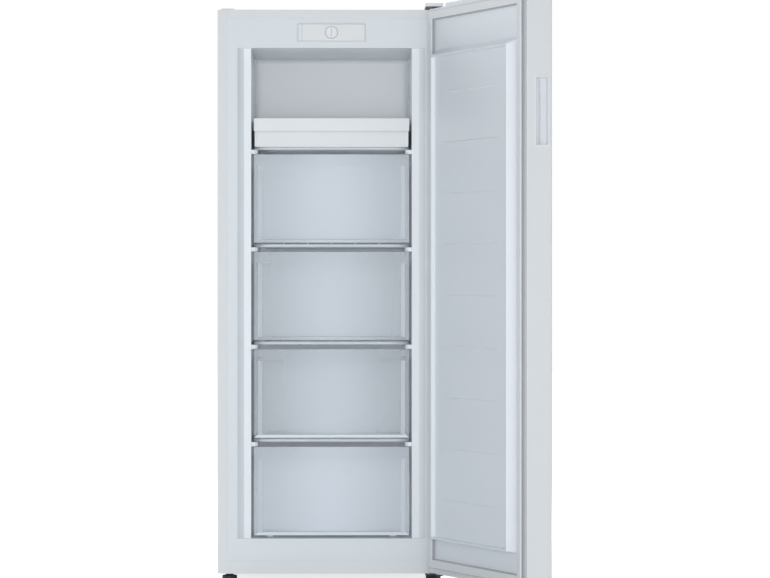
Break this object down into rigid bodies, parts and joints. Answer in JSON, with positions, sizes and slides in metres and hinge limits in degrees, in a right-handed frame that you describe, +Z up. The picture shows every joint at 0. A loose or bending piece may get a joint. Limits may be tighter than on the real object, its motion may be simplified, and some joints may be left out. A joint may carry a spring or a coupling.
{
  "type": "upright freezer",
  "caption": "Tall narrow upright freezer with a hinged door standing open, sliding drawers on evaporator shelves, a flat tray and a thermostat knob.",
  "frame": {"origin": "on the floor, at the middle of the area that the freezer takes up with its door standing open", "axes": "+Z up; the cabinet's front and the drawers look towards -Y; the door hinges are on the +X side"},
  "size_m": [0.7748, 1.0435, 1.3947],
  "materials": {
    "painted_steel": "satin",
    "liner_plastic": "satin",
    "white_plastic": "satin",
    "tray_plastic": "matte",
    "clear_plastic": "gloss",
    "insulation_foam": "matte",
    "zinc_steel": "satin",
    "hinge_steel": "satin",
    "black_enamel": "gloss",
    "black_plastic": "matte",
    "copper": "satin",
    "tube_enamel": "satin",
    "seal_rubber": "matte",
    "foot_rubber": "matte",
    "bush_plastic": "matte"
  },
  "bodies": {
    "cabinet": {"outer_wrapper": "painted_steel", "back_panel": "zinc_steel", "base_panel": "zinc_steel", "bottom_rail": "painted_steel", "base_rail_left": "zinc_steel", "base_rail_right": "zinc_steel", "foot_nuts": "zinc_steel", "cabinet_foam": "insulation_foam", "inner_liner": "liner_plastic", "compressor_plate": "zinc_steel", "compressor": "black_enamel", "relay_cover": "black_plastic", "compressor_grommets": "foot_rubber", "compressor_studs": "zinc_steel", "suction_pipe": "copper", "discharge_pipe": "copper", "filter_drier": "copper", "drier_pipe": "copper", "capillary": "copper", "thermostat_body": "black_plastic", "control_fascia": "white_plastic", "top_hinge_plate": "hinge_steel", "top_hinge_pin": "zinc_steel", "top_hinge_cover": "white_plastic", "hinge_hole_cover": "white_plastic", "bottom_hinge_plate": "hinge_steel", "bottom_hinge_pin": "zinc_steel", "hinge_screws": "hinge_steel", "rear_feet": "black_plastic", "evaporator_shelf_1": "tube_enamel", "evaporator_shelf_2": "tube_enamel", "evaporator_shelf_3": "tube_enamel", "evaporator_shelf_4": "tube_enamel"},
    "door": {"door_skin": "painted_steel", "door_foam": "insulation_foam", "door_inner_panel": "liner_plastic", "door_cap_top": "white_plastic", "door_cap_bottom": "white_plastic", "door_gasket": "seal_rubber", "handle_cup": "white_plastic", "hinge_bushes": "bush_plastic"},
    "drawer_1": {"drawer_1_front": "clear_plastic", "drawer_1_tub": "clear_plastic"},
    "drawer_2": {"drawer_2_front": "clear_plastic", "drawer_2_tub": "clear_plastic"},
    "drawer_3": {"drawer_3_front": "clear_plastic", "drawer_3_tub": "clear_plastic"},
    "drawer_4": {"drawer_4_front": "clear_plastic", "drawer_4_tub": "clear_plastic"},
    "tray": {"freezer_tray": "tray_plastic"},
    "thermostat_knob": {"thermostat_knob": "white_plastic", "thermostat_shaft": "zinc_steel"},
    "front_foot_left": {"front_foot_left": "black_plastic"},
    "front_foot_right": {"front_foot_right": "black_plastic"}
  },
  "joints": [
    {"name": "door_hinge", "type": "hinge", "parent": "cabinet", "child": "door", "pos_m": [0.1476, -0.0182, 0.7], "axis": [0, 0, 1], "range_deg": [-112, 8]},
    {"name": "drawer_1_slide", "type": "slide", "parent": "cabinet", "child": "drawer_1", "axis": [0, -1, 0], "range_m": [0, 0.28]},
    {"name": "drawer_2_slide", "type": "slide", "parent": "cabinet", "child": "drawer_2", "axis": [0, -1, 0], "range_m": [0, 0.28]},
    {"name": "drawer_3_slide", "type": "slide", "parent": "cabinet", "child": "drawer_3", "axis": [0, -1, 0], "range_m": [0, 0.28]},
    {"name": "drawer_4_slide", "type": "slide", "parent": "cabinet", "child": "drawer_4", "axis": [0, -1, 0], "range_m": [0, 0.15]},
    {"name": "tray_slide", "type": "slide", "parent": "cabinet", "child": "tray", "axis": [0, -1, 0], "range_m": [0, 0.28]},
    {"name": "knob_turn", "type": "hinge", "parent": "cabinet", "child": "thermostat_knob", "pos_m": [-0.1124, 0.0078, 1.3268], "axis": [0, 1, 0], "range_deg": [-150, 150]},
    {"name": "foot_left_turn", "type": "hinge", "parent": "cabinet", "child": "front_foot_left", "pos_m": [-0.3591, 0.0418, 0.01], "axis": [0, 0, 1], "continuous": true},
    {"name": "foot_right_turn", "type": "hinge", "parent": "cabinet", "child": "front_foot_right", "pos_m": [0.1343, 0.0418, 0.01], "axis": [0, 0, 1], "continuous": true}
  ]
}
